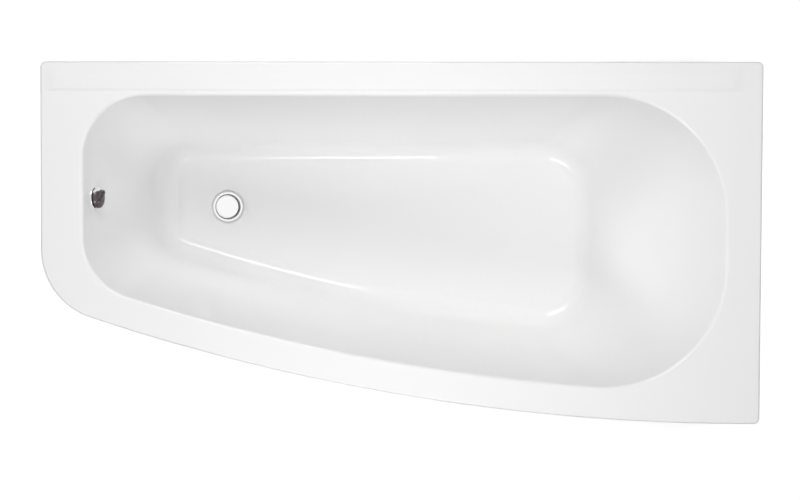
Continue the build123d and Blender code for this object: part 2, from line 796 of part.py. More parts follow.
# Overflow knob: turned by hand, with its spindle through the elbow to the crank behind
knob_low = rosette_thickness + knob_gap
knob_high = knob_low + knob_thickness
crank_front = elbow_back - elbow_boss_length - fit_gap
spindle_stop = crank_front - crank_thickness - fit_gap
with BuildPart() as overflow_knob:
    with BuildSketch(overflow.offset(knob_low)):
        Circle(knob_radius)
    extrude(amount=knob_thickness)
    fillet(overflow_knob.faces().filter_by(overflow).sort_by(Axis.X)[-1].edges(), knob_fillet)
    with BuildSketch(overflow.offset(knob_high - grip_fillet)):
        SlotOverall(grip_length, grip_width, rotation=90 + knob_swing)
    extrude(amount=grip_height + grip_fillet)
    fillet(overflow_knob.faces().filter_by(overflow).sort_by(Axis.X)[-1].edges(), grip_fillet)
    with BuildSketch(overflow.offset(knob_low)):
        Circle(spindle_radius)
    extrude(amount=knob_thickness, mode=Mode.SUBTRACT)
with BuildPart() as overflow_spindle:
    with BuildSketch(overflow.offset(spindle_stop)):
        Circle(spindle_radius)
    extrude(amount=knob_high - spindle_stop)
with BuildPart() as spindle_crank:
    crank_face = overflow.offset(crank_front)
    extrude(arm(crank_face, crank_length, crank_tip_radius, knob_swing), amount=-crank_thickness)
    with BuildSketch(crank_face):
        Circle(spindle_guide_radius)
    extrude(amount=-crank_thickness)
    with BuildSketch(crank_face):
        Circle(spindle_radius)
        with PolarLocations(crank_length, 1, start_angle=knob_swing):
            Circle(gland_bore_radius)
    extrude(amount=-crank_thickness, mode=Mode.SUBTRACT)

gland_plane = overflow.offset(elbow_back - elbow_boss_length + gland_seat)
cable_gland_upper = cable_gland(
    Plane(gland_plane.origin, x_dir=overflow.y_dir, z_dir=-overflow.z_dir), spindle_guide_radius
)

# Overflow hose: blown polyethylene with a plain cuff at each end and ribs between
hose_end = inlet_plane.origin - inlet_plane.z_dir * hose_seal_thickness
with BuildPart() as overflow_hose:
    with BuildLine() as hose_line:
        FilletPolyline(hose_start, hose_corner, hose_end, radius=hose_bend_radius)
    hose_path = hose_line.wire()
    rib_count = int((hose_path.length - 2 * hose_cuff) / rib_pitch)
    rib_start = (hose_path.length - rib_count * rib_pitch) / 2
    stations = [(0, hose_radius), (rib_start, hose_radius)]
    for rib in range(rib_count):
        for share, radius in rib_form:
            stations.append((rib_start + (rib + share) * rib_pitch, radius))
    stations += [(hose_path.length - rib_start, hose_radius), (hose_path.length, hose_radius)]
    sections = []
    for distance, radius in stations:
        place = hose_path.position_at(distance, position_mode=PositionMode.LENGTH)
        along = hose_path.tangent_at(distance, position_mode=PositionMode.LENGTH)
        with BuildSketch(Plane(place, x_dir=(0, 1, 0), z_dir=along), mode=Mode.PRIVATE) as section:
            Circle(radius)
        sections.append(section.sketch)
    loft(sections=sections, ruled=True)
    with BuildSketch(Plane(hose_start, x_dir=(0, 1, 0), z_dir=-spigot.z_dir)):
        Circle(hose_bore_radius)
    sweep(path=hose_path, mode=Mode.SUBTRACT)
with BuildPart() as hose_seals:
    for joint in (spigot, inlet_plane):
        extrude(ring(joint, hose_radius, hose_bore_radius), amount=-hose_seal_thickness)
hose_nut_upper = union_nut(spigot.offset(-hose_seal_thickness / 2), hose_radius, hose_nut_length)
hose_nut_lower = union_nut(inlet_plane.offset(-hose_seal_thickness / 2), hose_radius, hose_nut_length)

# Each piece goes to its own file
pieces = {
    "tub_shell": tub_shell,
    "base_board": base_board,
    "rim_batten_back": rim_batten_back,
    "rim_batten_head": rim_batten_head,
    **cross_bars,
    "bar_screws": bar_screws,
    **legs,
    "leg_nuts": leg_nuts,
    "waste_flange": waste_flange,
    "waste_gasket_upper": waste_gasket_upper,
    "waste_gasket_lower": waste_gasket_lower,
    "waste_body": waste_body,
    "plug_cap": plug_cap,
    "plug_seal": plug_seal,
    "plug_stem": plug_stem,
    "lift_lever": lift_lever,
    "lever_shaft": lever_shaft,
    "lever_crank": lever_crank,
    "cable_gland_lower": cable_gland_lower,
    "trap_body": trap_body,
    "trap_inlet_seal": trap_inlet_seal,
    "trap_inlet_nut": trap_inlet_nut,
    "trap_outlet_seal": trap_outlet_seal,
    "trap_outlet_nut": trap_outlet_nut,
    "outlet_pipe": outlet_pipe,
    "overflow_rosette": overflow_rosette,
    "overflow_gasket": overflow_gasket,
    "overflow_elbow": overflow_elbow,
    "overflow_knob": overflow_knob,
    "overflow_spindle": overflow_spindle,
    "spindle_crank": spindle_crank,
    "cable_gland_upper": cable_gland_upper,
    "overflow_hose": overflow_hose,
    "hose_seals": hose_seals,
    "hose_nut_upper": hose_nut_upper,
    "hose_nut_lower": hose_nut_lower,
}
for name, piece in pieces.items():
    piece.part.label = name
    export_step(piece.part, f"parts/{name}.step")
print("waste", waste_x, waste_y, "lever", lever_x, lever_z, "overflow", overflow.origin, overflow.z_dir)
print("legs", leg_points)
print("outlet pipe end", outlet_start_y + pipe_seal_thickness + outlet_length, outlet_z)
print("hose bend", hose_bend_radius, "hose length", hose_path.length, "ribs", rib_count)
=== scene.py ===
import math

import bmesh
import bpy
import numpy as np
from mathutils import Matrix, Vector


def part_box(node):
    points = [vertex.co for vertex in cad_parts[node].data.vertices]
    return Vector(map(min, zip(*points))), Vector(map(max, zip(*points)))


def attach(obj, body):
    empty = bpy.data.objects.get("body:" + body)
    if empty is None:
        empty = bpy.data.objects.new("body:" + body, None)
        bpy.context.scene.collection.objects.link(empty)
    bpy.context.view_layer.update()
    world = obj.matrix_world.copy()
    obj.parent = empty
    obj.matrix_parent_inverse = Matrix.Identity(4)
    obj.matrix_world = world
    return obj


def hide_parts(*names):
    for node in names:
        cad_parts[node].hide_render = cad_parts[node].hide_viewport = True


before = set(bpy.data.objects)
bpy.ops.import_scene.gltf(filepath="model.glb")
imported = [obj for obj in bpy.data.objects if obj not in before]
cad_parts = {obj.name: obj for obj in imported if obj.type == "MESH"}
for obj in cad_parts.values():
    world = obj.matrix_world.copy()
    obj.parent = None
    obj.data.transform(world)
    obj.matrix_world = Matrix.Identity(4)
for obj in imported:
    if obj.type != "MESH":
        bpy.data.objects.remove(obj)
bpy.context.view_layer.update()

# Shell. The bath itself: one sheet of white cast acrylic, drawn hot into a mould by vacuum,
# with a backing of sprayed polyester and chopped glass strands, and a rim turned down all
# round. It has a raised ledge along the wall and a pressed seat for the waste.
shell_low, shell_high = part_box("tub_shell")
ledge_rise = 0.0025
rim_top = shell_high.z - ledge_rise
floor_z = rim_top - 0.3975
half_length = (shell_high.x - shell_low.x) / 2
half_width = 0.375
shell_wall = 0.006
lip_depth = 0.038
lip_fillet = 0.005
front_radius = 4.330
arc_centre = np.array((half_length - 0.050, front_radius - half_width))
rim_corner = 0.012
foot_corner = 0.150
rim_widths = np.array((0.088, 0.072, 0.071, 0.066))
wall_slopes = np.radians((11.5, 31.2, 12.0, 13.0))
opening_corners = (0.130, 0.250)
floor_corners = (0.090, 0.120)
opening_fillet = 0.008
floor_bend = 0.049
bend_ease = 0.5
floor_fall = 0.01
waste = np.array((-0.420, 0.0781982))
seat_radius = 0.039
seat_recess = 0.005
seat_wall = 0.005
waste_hole = 0.026
segment_steps = {"corner_back": 44, "head": 20, "corner_front": 44, "front": 120, "foot": 18, "back": 90}


def arc_low(x, inset):
    """Y of the long front arc at x, moved in by inset."""
    return arc_centre[1] - math.sqrt((front_radius - inset) ** 2 - (x - arc_centre[0]) ** 2)


def steps(start, end, count):
    """Points from start up to, but not at, end."""
    share = np.arange(count)[:, None] / count
    return np.asarray(start) * (1 - share) + np.asarray(end) * share


def turn(centre, radius, start, end, count):
    """Points on an arc from one angle up to, but not at, the other, with their inward normals."""
    angle = start + (end - start) * np.arange(count) / count
    out = np.stack((np.cos(angle), np.sin(angle)), 1)
    return np.asarray(centre) + radius * out, -out


def outline(insets, foot_back, head_back, head_front, foot_front):
    """The bath's eight-sided outline inside the rim: its points and their inward normals."""
    foot, head, back, front = insets
    foot_x, head_x, back_y = foot - half_length, half_length - head, half_width - back
    centre_hb = (head_x - head_back, back_y - head_back)
    centre_hf = (head_x - head_front, arc_low(head_x - head_front, front + head_front))
    centre_ff = (foot_x + foot_front, arc_low(foot_x + foot_front, front + foot_front))
    centre_fb = (foot_x + foot_back, back_y - foot_back)
    angle_hf = math.atan2(*(np.array(centre_hf) - arc_centre)[::-1])
    angle_ff = math.atan2(*(np.array(centre_ff) - arc_centre)[::-1])
    quarter = math.pi / 2
    parts = []
    count = segment_steps
    line = steps((centre_fb[0], back_y), (centre_hb[0], back_y), count["back"])
    parts.append((line, np.tile((0.0, -1.0), (len(line), 1))))
    parts.append(turn(centre_hb, head_back, quarter, 0.0, count["corner_back"]))
    line = steps((head_x, centre_hb[1]), (head_x, centre_hf[1]), count["head"])
    parts.append((line, np.tile((-1.0, 0.0), (len(line), 1))))
    parts.append(turn(centre_hf, head_front, 0.0, angle_hf, count["corner_front"]))
    parts.append(turn(arc_centre, front_radius - front, angle_hf, angle_ff, count["front"]))
    parts.append(turn(centre_ff, foot_front, angle_ff, -math.pi, count["corner_front"]))
    line = steps((foot_x, centre_ff[1]), (foot_x, centre_fb[1]), count["foot"])
    parts.append((line, np.tile((1.0, 0.0), (len(line), 1))))
    parts.append(turn(centre_fb, foot_back, math.pi, quarter, count["corner_back"]))
    return np.concatenate([p for p, n in parts]), np.concatenate([n for p, n in parts])


def floor_height(points):
    """Height of the bowl floor, which falls towards the waste."""
    return floor_z + floor_fall * (points[:, 0] - waste[0])


def lift(points, heights):
    """Plan points with their heights, as a row of the shell's net."""
    heights = np.broadcast_to(np.asarray(heights, float), (len(points),))
    return np.column_stack((points, heights))


def rim_row(inset, height):
    """Row of the net on the rim or the lip."""
    small, large = rim_corner - inset, foot_corner - inset
    return lift(outline((inset,) * 4, small, small, small, large)[0], height)


def floor_turn(slope, radius, count):
    """Way across and down of the bend from wall to floor, which starts softly as drawn sheet does."""
    fine = 12
    turning = math.pi / 2 - slope
    step = turning * radius / (1 - bend_ease / 2) / (fine * count)
    share = np.linspace(0, 1, fine * count + 1)
    turned = np.where(share < bend_ease, share**2 / (2 * bend_ease), share - bend_ease / 2)
    angle = slope + turning * (turned / (1 - bend_ease / 2))[:, None]
    middle = (angle[1:] + angle[:-1]) / 2
    start = np.zeros((1, len(slope)))
    across = np.concatenate((start, np.cumsum(np.sin(middle) * step, axis=0)))
    down = np.concatenate((start, np.cumsum(np.cos(middle) * step, axis=0)))
    return across[::fine], down[::fine]


def bowl_rows(outward, radius, wall_steps, bend_steps, edge):
    """Rows down one face of the bowl: edge fillet, wall and floor bend. Also the floor's edge."""
    top = rim_widths - outward / np.cos(wall_slopes)
    depth = rim_top - floor_z + outward
    low = top + depth * np.tan(wall_slopes)
    radii = [opening_corners[0] + outward, opening_corners[1] + outward]
    floor_radii = [floor_corners[0] + outward, floor_corners[1] + outward]
    upper, inward = outline(top, radii[0], radii[1], radii[1], radii[0])
    lower = outline(low, floor_radii[0], floor_radii[1], floor_radii[1], floor_radii[0])[0]
    run = (lower - upper) / depth
    slope = np.arctan((run * inward).sum(1))
    rows = []
    if edge:
        centre = upper + run * edge - inward * (edge / np.cos(slope))[:, None]
        for share in np.linspace(0, 1, 9):
            angle = share * (math.pi / 2 - slope)
            rows.append(lift(centre + inward * (edge * np.sin(angle))[:, None], rim_top - edge + edge * np.cos(angle)))
    floor_here = floor_height(lower) - outward
    local_depth = rim_top - floor_here
    start = edge * (1 - np.sin(slope)) if edge else np.full(len(slope), shell_wall)
    across, down = floor_turn(slope, radius, bend_steps)
    stop = local_depth - down[-1]
    shares = np.concatenate(([0.004], np.linspace(0, 1, wall_steps + 1)[1:-1]))
    for share in shares if edge else np.concatenate(([0.0], shares)):
        depth_here = start + (stop - start) * share
        rows.append(lift(upper + run * depth_here[:, None], rim_top - depth_here))
    foot = upper + run * stop[:, None]
    for sideways, drop in zip(across, down):
        rows.append(lift(foot + inward * sideways[:, None], rim_top - stop - drop))
    return rows, rows[-1][:, :2]


def floor_rows(edge_plan, hole, outward, shares):
    """Rows across the flat floor, from the foot of the fillet to a ring round the waste."""
    spoke = edge_plan - waste
    spoke /= np.linalg.norm(spoke, axis=1)[:, None]
    ring = waste + spoke * hole
    rows = []
    for share in shares:
        plan = edge_plan * (1 - share) + ring * share
        rows.append(lift(plan, floor_height(plan) - outward))
    return rows, spoke


inner, inner_edge = bowl_rows(0.0, floor_bend, 14, 30, opening_fillet)
outer, outer_edge = bowl_rows(shell_wall, floor_bend + shell_wall, 10, 12, 0.0)
press = 0.002
inner_floor, spoke = floor_rows(inner_edge, seat_radius + press, 0.0, (0.01, 0.2, 0.4, 0.6, 0.8, 0.97, 1.0))
boss_radius = seat_radius + seat_wall
outer_floor, outer_spoke = floor_rows(outer_edge, boss_radius, shell_wall, (1.0, 0.7, 0.4, 0.02))
seat_z = floor_z - seat_recess
seat_under = seat_z - seat_wall
seat_rows = []
for share in (0.33, 0.67, 1.0):
    angle = share * math.pi / 2
    plan = waste + spoke * (seat_radius + press - press * math.sin(angle))
    seat_rows.append(lift(plan, floor_height(plan) - press * (1 - math.cos(angle))))
for radius, height in ((seat_radius, seat_z + 0.0005), (seat_radius - 0.0005, seat_z), (waste_hole, seat_z), (waste_hole, seat_under), (boss_radius, seat_under)):
    seat_rows.append(lift(waste + spoke * radius, height))
rim_under = rim_top - shell_wall
lip_low = rim_top - lip_depth
lip_rows = [
    rim_row(shell_wall, rim_under),
    rim_row(shell_wall, lip_low),
    rim_row(0.0, lip_low),
    rim_row(0.0, lip_low + 0.001),
    rim_row(0.0, rim_top - lip_fillet - 0.001),
]
for share in np.linspace(0, 1, 9):
    angle = share * math.pi / 2
    lip_rows.append(rim_row(lip_fillet * (1 - math.cos(angle)), rim_top - lip_fillet * (1 - math.sin(angle))))
rim_edge = lip_rows[-1][:, :2]
opening_edge = inner[0][:, :2]
rim_rows = [lift(rim_edge * (1 - s) + opening_edge * s, rim_top) for s in (0.015, 0.25, 0.5, 0.75, 0.985)]
back_rows = outer_floor + outer[::-1]
net = rim_rows + inner + inner_floor + seat_rows + back_rows + lip_rows
first_back = len(rim_rows) + len(inner) + len(inner_floor) + len(seat_rows) - 2
last_back = first_back + len(back_rows) + 3


def skin(name, rows, back_from, back_to):
    """Closed mesh over rows that run round in both ways, with the back's faces marked."""
    columns = len(rows[0])
    mesh = bpy.data.meshes.new(name)
    faces = []
    marks = []
    for row in range(len(rows)):
        below = (row + 1) % len(rows)
        for column in range(columns):
            beside = (column + 1) % columns
            faces.append(
                (row * columns + column, below * columns + column, below * columns + beside, row * columns + beside)
            )
            marks.append(1 if back_from <= row < back_to else 0)
    mesh.from_pydata(np.concatenate(rows).tolist(), [], faces)
    mesh.polygons.foreach_set("material_index", marks)
    mesh.polygons.foreach_set("use_smooth", [True] * len(faces))
    mesh.update()
    piece = bpy.data.objects.new(name, mesh)
    bpy.context.scene.collection.objects.link(piece)
    return piece


def shaped(name, points, faces, sharp=35):
    """Mesh object from points and faces, smooth except over edges sharper than an angle."""
    mesh = bpy.data.meshes.new(name)
    mesh.from_pydata(points, [], faces)
    mesh.polygons.foreach_set("use_smooth", [True] * len(faces))
    mesh.update()
    mesh.set_sharp_from_angle(angle=math.radians(sharp))
    piece = bpy.data.objects.new(name, mesh)
    bpy.context.scene.collection.objects.link(piece)
    return piece


def turned(name, profile, place, around=96):
    """Piece turned on an axis: closed profile of (radius, height) in mm, run up the outside."""
    points = []
    rings = []
    for radius, height in profile:
        count = around if radius > 0 else 1
        rings.append(range(len(points), len(points) + count))
        for index in range(count):
            angle = 2 * math.pi * index / around
            spot = Vector((radius * math.cos(angle), radius * math.sin(angle), height)) / 1000
            points.append(place @ spot)
    faces = []
    closed = len(rings[0]) > 1
    for index in range(len(rings) if closed else len(rings) - 1):
        low, high = rings[index], rings[(index + 1) % len(rings)]
        for column in range(around):
            beside = (column + 1) % around
            corners = [low[column % len(low)], low[beside % len(low)]]
            corners += [high[beside % len(high)], high[column % len(high)]]
            faces.append(tuple(dict.fromkeys(corners)))
    return shaped(name, points, faces)


def plain_mesh(piece):
    """The piece with its modifiers turned into a plain mesh."""
    graph = bpy.context.evaluated_depsgraph_get()
    mesh = bpy.data.meshes.new_from_object(piece.evaluated_get(graph))
    piece.modifiers.clear()
    old = piece.data
    piece.data = mesh
    bpy.data.meshes.remove(old)
    return piece


def joined(keep, *others):
    """One piece made of several, with the first one's name and materials."""
    whole = bmesh.new()
    for piece in (keep, *others):
        whole.from_mesh(piece.data)
    whole.to_mesh(keep.data)
    whole.free()
    for piece in others:
        bpy.data.objects.remove(piece)
    return keep


bath_shell = skin("bath_shell", net, first_back, last_back)

overflow_aside = 0.014
overflow_place = Matrix.Translation((-0.650195, waste[1] + overflow_aside, 0.5095)) @ Matrix(
    ((0.0, -0.199436, 0.979911, 0), (1.0, 0.0, 0.0, 0), (0.0, 0.979911, 0.199436, 0), (0, 0, 0, 1))
)
overflow_hole = 19
hole_cutter = turned("hole_cutter", ((0, -40), (overflow_hole, -40), (overflow_hole, 40), (0, 40)), overflow_place)
hole_cut = bath_shell.modifiers.new("overflow hole", "BOOLEAN")
hole_cut.object = hole_cutter
hole_cut.operation = "DIFFERENCE"
hole_cut.solver = "EXACT"
plain_mesh(bath_shell)
bpy.data.objects.remove(hole_cutter)

ledge_foot, ledge_head, ledge_front, ledge_back = -0.742, 0.712, 0.312, 0.370
ledge_corner = 0.004
ledge_slope = 0.0026
ledge_fall = 0.024
ledge_shares = np.linspace(0, 1, 9)
ledge_profile = [(0.0, -0.001)]
ledge_profile += [(ledge_slope * s, ledge_rise * s * s * (3 - 2 * s)) for s in ledge_shares]
corner_turns = np.radians(np.linspace(0, 90, 7))
ledge_points = []
for inset, height in ledge_profile:
    radius = ledge_corner * (1 - max(inset, 0.0) / ledge_slope)
    soft = inset / ledge_slope * ledge_fall
    head, foot = ledge_head - ledge_corner - soft, ledge_foot + ledge_corner + soft
    back, front = ledge_back - ledge_corner - soft, ledge_front + ledge_corner + inset
    for quarter, x, y in ((0, head, back), (1, foot, back), (2, foot, front), (3, head, front)):
        for angle in corner_turns + quarter * math.pi / 2:
            ledge_points.append((x + radius * math.cos(angle), y + radius * math.sin(angle), rim_top + height))
ring_size = 4 * len(corner_turns)
ledge_faces = [tuple(range(ring_size))[::-1], tuple(range(len(ledge_points) - ring_size, len(ledge_points)))]
for row in range(len(ledge_profile) - 1):
    for column in range(ring_size):
        beside = (column + 1) % ring_size
        low, high = row * ring_size, (row + 1) * ring_size
        ledge_faces.append((low + column, low + beside, high + beside, high + column))
ledge = shaped("ledge", ledge_points, ledge_faces, 80)
joined(bath_shell, ledge)
bath_shell.data.set_sharp_from_angle(angle=math.radians(40))


def linear(code):
    """Linear RGBA of an sRGB hex colour."""
    parts = [int(code[i : i + 2], 16) / 255 for i in (0, 2, 4)]
    return [c / 12.92 if c <= 0.04045 else ((c + 0.055) / 1.055) ** 2.4 for c in parts] + [1.0]


def add_node(tree, kind, values, links=()):
    """Node in a tree, with its settings and socket values, and links from other nodes' outputs."""
    node = tree.nodes.new(kind)
    for key, value in values.items():
        if isinstance(key, str) and key not in node.inputs:
            setattr(node, key, value)
        else:
            node.inputs[key].default_value = value
    for key, source in dict(links).items():
        tree.links.new(source, node.inputs[key])
    return node


def material(name, colour, metal, rough):
    """Named material with its own shader, to which texture nodes may be linked."""
    made = bpy.data.materials.new(name)
    made.use_nodes = True
    shader = made.node_tree.nodes["Principled BSDF"]
    shader.inputs["Base Color"].default_value = linear(colour)
    shader.inputs["Metallic"].default_value = metal
    shader.inputs["Roughness"].default_value = rough
    return made


def pattern(made, kind, size, stretch=(1, 1, 1), **values):
    """Texture node on object coordinates, its pattern drawn at a real size in metres."""
    tree = made.node_tree
    where = add_node(tree, "ShaderNodeTexCoord", {})
    scale = [1 / (size * s) for s in stretch]
    mapped = add_node(tree, "ShaderNodeMapping", {"Scale": scale}, {"Vector": where.outputs["Object"]})
    return add_node(tree, kind, {"Scale": 1.0, **values}, {"Vector": mapped.outputs["Vector"]})


def bump(made, source, depth, strength=1.0):
    """Relief of a real depth in metres, from a pattern."""
    tree = made.node_tree
    relief = add_node(
        tree, "ShaderNodeBump", {"Strength": strength, "Distance": depth}, {"Height": source}
    )
    tree.links.new(relief.outputs["Normal"], tree.nodes["Principled BSDF"].inputs["Normal"])


def tint(made, source, *stops):
    """Base colour that runs over hex stops, given as (place, colour), by a pattern."""
    tree = made.node_tree
    ramp = add_node(tree, "ShaderNodeValToRGB", {}, {"Fac": source})
    elements = ramp.color_ramp.elements
    elements[0].position, elements[1].position = stops[0][0], stops[-1][0]
    elements[0].color, elements[1].color = linear(stops[0][1]), linear(stops[-1][1])
    for place, code in stops[1:-1]:
        elements.new(place).color = linear(code)
    tree.links.new(ramp.outputs["Color"], tree.nodes["Principled BSDF"].inputs["Base Color"])


def roughen(made, source, low, high):
    """Roughness between two values, by a pattern."""
    tree = made.node_tree
    spread = add_node(tree, "ShaderNodeMapRange", {"To Min": low, "To Max": high}, {"Value": source})
    tree.links.new(spread.outputs["Result"], tree.nodes["Principled BSDF"].inputs["Roughness"])


# Cast acrylic, pulled hot over a polished mould: deep gloss, with the long faint waves of drawn sheet
acrylic = material("white gloss acrylic", "F4F4F4", 0.0, 0.05)
acrylic.node_tree.nodes["Principled BSDF"].inputs["IOR"].default_value = 1.49
shell_place = add_node(acrylic.node_tree, "ShaderNodeTexCoord", {})
shell_height = add_node(acrylic.node_tree, "ShaderNodeSeparateXYZ", {}, {0: shell_place.outputs["Object"]})
dulled = add_node(
    acrylic.node_tree,
    "ShaderNodeMapRange",
    {"From Min": 0.23, "From Max": 0.33, "To Min": 0.05, "To Max": 0.2},
    {"Value": shell_height.outputs["Z"]},
)
polished = add_node(
    acrylic.node_tree,
    "ShaderNodeMapRange",
    {"From Min": 0.53, "From Max": 0.56, "To Min": 0.0, "To Max": 0.12},
    {"Value": shell_height.outputs["Z"]},
)
gloss = add_node(
    acrylic.node_tree,
    "ShaderNodeMath",
    {"operation": "SUBTRACT"},
    {0: dulled.outputs["Result"], 1: polished.outputs["Result"]},
)
acrylic.node_tree.links.new(gloss.outputs["Value"], acrylic.node_tree.nodes["Principled BSDF"].inputs["Roughness"])
waves = pattern(acrylic, "ShaderNodeTexNoise", 0.09, Detail=1.0)
bump(acrylic, waves.outputs["Fac"], 0.00012)
# Polyester with chopped glass strands, 30 mm long, rolled by hand: strands show through, satin
laminate = material("sprayed glass fibre backing", "C9C6B4", 0.0, 0.55)
strands = pattern(laminate, "ShaderNodeTexNoise", 0.002, (14, 1, 3), Detail=3.0, Distortion=0.6)
crossed = pattern(laminate, "ShaderNodeTexNoise", 0.002, (1, 13, 3), Detail=3.0, Distortion=0.6)
laid = add_node(
    laminate.node_tree,
    "ShaderNodeMath",
    {"operation": "MAXIMUM"},
    {0: strands.outputs["Fac"], 1: crossed.outputs["Fac"]},
)
tint(laminate, laid.outputs["Value"], (0.42, "B3AE97"), (0.58, "CFCCBA"), (0.72, "E6E4D8"))
bump(laminate, laid.outputs["Value"], 0.0008)
bath_shell.data.materials.clear()
bath_shell.data.materials.append(acrylic)
bath_shell.data.materials.append(laminate)
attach(bath_shell, "bath")
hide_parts("tub_shell")


def dress(made, *nodes):
    """Material on CAD nodes that keep their own shape."""
    for node in nodes:
        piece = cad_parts[node]
        piece.data.materials.clear()
        piece.data.materials.append(made)


# Base board and battens. Chipboard that stiffens the floor and the rim, sawn to shape and
# bonded with resin to the back of the shell. The board has a round hole for the waste.
# Pressed wood chips of 2 to 8 mm, sawn: dull, mottled in yellow-brown, with a coarse face
chipboard = material("sanded chipboard", "C3A577", 0.0, 0.8)
chips = pattern(chipboard, "ShaderNodeTexVoronoi", 0.005, (1.6, 1, 0.7), Randomness=1.0)
chip_shade = add_node(chipboard.node_tree, "ShaderNodeSeparateColor", {}, {"Color": chips.outputs["Color"]})
tint(chipboard, chip_shade.outputs["Red"], (0.0, "A1814F"), (0.35, "BFA06E"), (0.7, "CDB080"), (1.0, "DCC69B"))
bump(chipboard, chip_shade.outputs["Green"], 0.0003)
dress(chipboard, "base_board", "rim_batten_back", "rim_batten_head")

# Leg frame. Two channels pressed from hot-dip galvanised sheet, screwed up into the base
# board with pan-head wood screws. Each end carries a leg between two nuts.
# Zinc bath on steel sheet: crystals of about 10 mm, each with its own grey and gloss
galvanised = material("galvanised steel sheet", "B4B8BA", 1.0, 0.42)
crystals = pattern(galvanised, "ShaderNodeTexVoronoi", 0.011, Randomness=1.0)
crystal_tone = add_node(galvanised.node_tree, "ShaderNodeSeparateColor", {}, {"Color": crystals.outputs["Color"]})
tint(galvanised, crystal_tone.outputs["Red"], (0.0, "9A9FA2"), (0.5, "B2B6B8"), (1.0, "CDD0D1"))
roughen(galvanised, crystal_tone.outputs["Green"], 0.3, 0.52)
dress(galvanised, "cross_bar_foot", "cross_bar_head")
# Electroplated zinc with a clear passivate: bright, slightly blue, with a fine brushed haze
zinc = material("bright zinc plated steel", "CFD1D2", 1.0, 0.25)
haze = pattern(zinc, "ShaderNodeTexNoise", 0.003, Detail=2.0)
roughen(zinc, haze.outputs["Fac"], 0.16, 0.36)
dress(zinc, "leg_nuts", "lever_shaft")


def node_tree(name, **sizes):
    """Empty geometry tree with its named inputs, and its input node."""
    tree = bpy.data.node_groups.new(name, "GeometryNodeTree")
    tree.interface.new_socket("Geometry", in_out="INPUT", socket_type="NodeSocketGeometry")
    kinds = {float: "NodeSocketFloat", int: "NodeSocketInt", bpy.types.Material: "NodeSocketMaterial"}
    for key, value in {**sizes, "Finish": bpy.types.Material}.items():
        kind = value if isinstance(value, type) else type(value)
        tree.interface.new_socket(key, in_out="INPUT", socket_type=kinds[kind])
    tree.interface.new_socket("Geometry", in_out="OUTPUT", socket_type="NodeSocketGeometry")
    return tree, tree.nodes.new("NodeGroupInput")


def tree_end(tree, start, source):
    """Close a tree: its copies made real, with the finish set."""
    real = add_node(tree, "GeometryNodeRealizeInstances", {}, {"Geometry": source})
    finish = add_node(
        tree,
        "GeometryNodeSetMaterial",
        {},
        {"Geometry": real.outputs["Geometry"], "Material": start.outputs["Finish"]},
    )
    add_node(tree, "NodeGroupOutput", {}, {"Geometry": finish.outputs["Geometry"]})


def grown(name, tree, finish, place, points=((0, 0, 0),), **sizes):
    """Plain mesh piece that a geometry tree makes from its sizes, moved to its place."""
    piece = shaped(name, points, [])
    grow = piece.modifiers.new(tree.name, "NODES")
    grow.node_group = tree
    for item in tree.interface.items_tree:
        if item.in_out == "INPUT" and item.name in sizes:
            grow[item.identifier] = sizes[item.name]
        if item.in_out == "INPUT" and item.name == "Finish":
            grow[item.identifier] = finish
    plain_mesh(piece)
    piece.data.transform(place)
    piece.data.polygons.foreach_set("use_smooth", [True] * len(piece.data.polygons))
    piece.data.set_sharp_from_angle(angle=math.radians(35))
    return piece


# Screws: a pan head with a cross recess, one at each place of the CAD screws
screw_low, screw_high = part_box("bar_screws")
screw_tree, start = node_tree("pan head screws", Head=0.0, Rise=0.0, Shank=0.0, Length=0.0)
ball = add_node(screw_tree, "GeometryNodeMeshUVSphere", {"Segments": 32, "Rings": 16}, {"Radius": start.outputs["Head"]})
flat = add_node(
    screw_tree, "ShaderNodeCombineXYZ", {"X": 1.0, "Y": 1.0, "Z": 0.5}
)
dome = add_node(
    screw_tree,
    "GeometryNodeTransform",
    {},
    {"Geometry": ball.outputs["Mesh"], "Scale": flat.outputs["Vector"]},
)
blade = add_node(screw_tree, "GeometryNodeMeshCube", {"Size": (0.0052, 0.0011, 0.0034)})
blade_low = add_node(
    screw_tree, "GeometryNodeTransform", {"Translation": (0, 0, -0.0025)}, {"Geometry": blade.outputs["Mesh"]}
)
blade_crossed = add_node(
    screw_tree,
    "GeometryNodeTransform",
    {"Rotation": (0, 0, math.pi / 2)},
    {"Geometry": blade_low.outputs["Geometry"]},
)
lid = add_node(screw_tree, "GeometryNodeMeshCube", {"Size": (0.02, 0.02, 0.02)})
lid_high = add_node(
    screw_tree, "GeometryNodeTransform", {"Translation": (0, 0, 0.01)}, {"Geometry": lid.outputs["Mesh"]}
)
recess = add_node(screw_tree, "GeometryNodeMeshBoolean", {"operation": "DIFFERENCE"}, {"Mesh 1": dome.outputs["Geometry"]})
for tool in (blade_low, blade_crossed, lid_high):
    screw_tree.links.new(tool.outputs["Geometry"], recess.inputs["Mesh 2"])
shank = add_node(
    screw_tree,
    "GeometryNodeMeshCylinder",
    {"Vertices": 20},
    {"Radius": start.outputs["Shank"], "Depth": start.outputs["Length"]},
)
half = add_node(
    screw_tree, "ShaderNodeMath", {"operation": "MULTIPLY", 1: 0.5}, {0: start.outputs["Length"]}
)
raised = add_node(screw_tree, "ShaderNodeCombineXYZ", {}, {"Z": half.outputs["Value"]})
shank_high = add_node(
    screw_tree,
    "GeometryNodeTransform",
    {},
    {"Geometry": shank.outputs["Mesh"], "Translation": raised.outputs["Vector"]},
)
screw = add_node(screw_tree, "GeometryNodeJoinGeometry", {}, {"Geometry": recess.outputs["Mesh"]})
screw_tree.links.new(shank_high.outputs["Geometry"], screw.inputs["Geometry"])
spots = add_node(screw_tree, "GeometryNodeMeshToPoints", {}, {"Mesh": start.outputs["Geometry"]})
